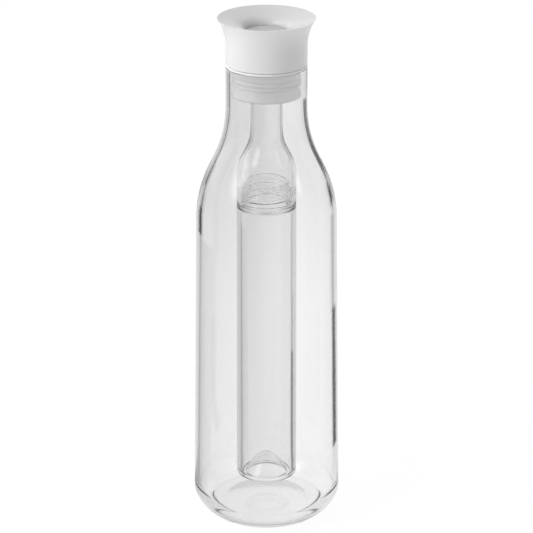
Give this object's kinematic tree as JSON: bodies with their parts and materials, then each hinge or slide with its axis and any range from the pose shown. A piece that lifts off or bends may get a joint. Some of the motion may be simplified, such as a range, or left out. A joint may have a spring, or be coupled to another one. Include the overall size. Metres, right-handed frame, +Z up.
{
  "type": "glass carafe",
  "caption": "Bottle-shaped glass carafe with a flared white pouring collar, self-closing disc valve, silicone neck seal and a hanging clear cooling core.",
  "frame": {"origin": "middle of the base, on the surface the carafe stands on", "axes": "+Z up along the carafe's axis; the carafe is turned about Z, so X and Y are equal"},
  "size_m": [0.09, 0.09, 0.316],
  "materials": {
    "clear_glass": "clear, polished",
    "clear_plastic": "clear, glossy",
    "white_plastic": "glossy white",
    "natural_plastic": "milky natural plastic, satin",
    "milky_silicone": "translucent silicone, satin",
    "grey_plastic": "light grey, glossy"
  },
  "bodies": {
    "carafe": {"glass_body": "clear_glass"},
    "lid": {"pouring_collar": "white_plastic", "lid_insert": "natural_plastic", "neck_seal": "milky_silicone", "core_cap": "clear_plastic", "core_neck_ring": "milky_silicone", "core_plug": "natural_plastic"},
    "valve": {"valve_disc": "grey_plastic", "valve_gasket": "milky_silicone", "stem_clip": "natural_plastic"},
    "core_seal": {"core_gasket": "milky_silicone"},
    "tube": {"core_tube": "clear_plastic"}
  },
  "joints": [
    {"name": "lid_lift", "type": "slide", "parent": "carafe", "child": "lid", "axis": [0, 0, 1], "range_m": [0, 0.27]},
    {"name": "valve_lift", "type": "slide", "parent": "lid", "child": "valve", "axis": [0, 0, 1], "range_m": [0, 0.006]},
    {"name": "core_travel", "type": "slide", "parent": "lid", "child": "core_seal", "axis": [0, 0, -1], "range_m": [0, 0.011]},
    {"name": "core_unscrew", "type": "hinge", "parent": "core_seal", "child": "tube", "pos_m": [0, 0, 0.2], "axis": [0, 0, -1], "range_deg": [0, 1980]}
  ],
  "couplings": [
    {"joint": "core_travel", "follows": "core_unscrew", "m_per_rad": 0.00031831}
  ]
}
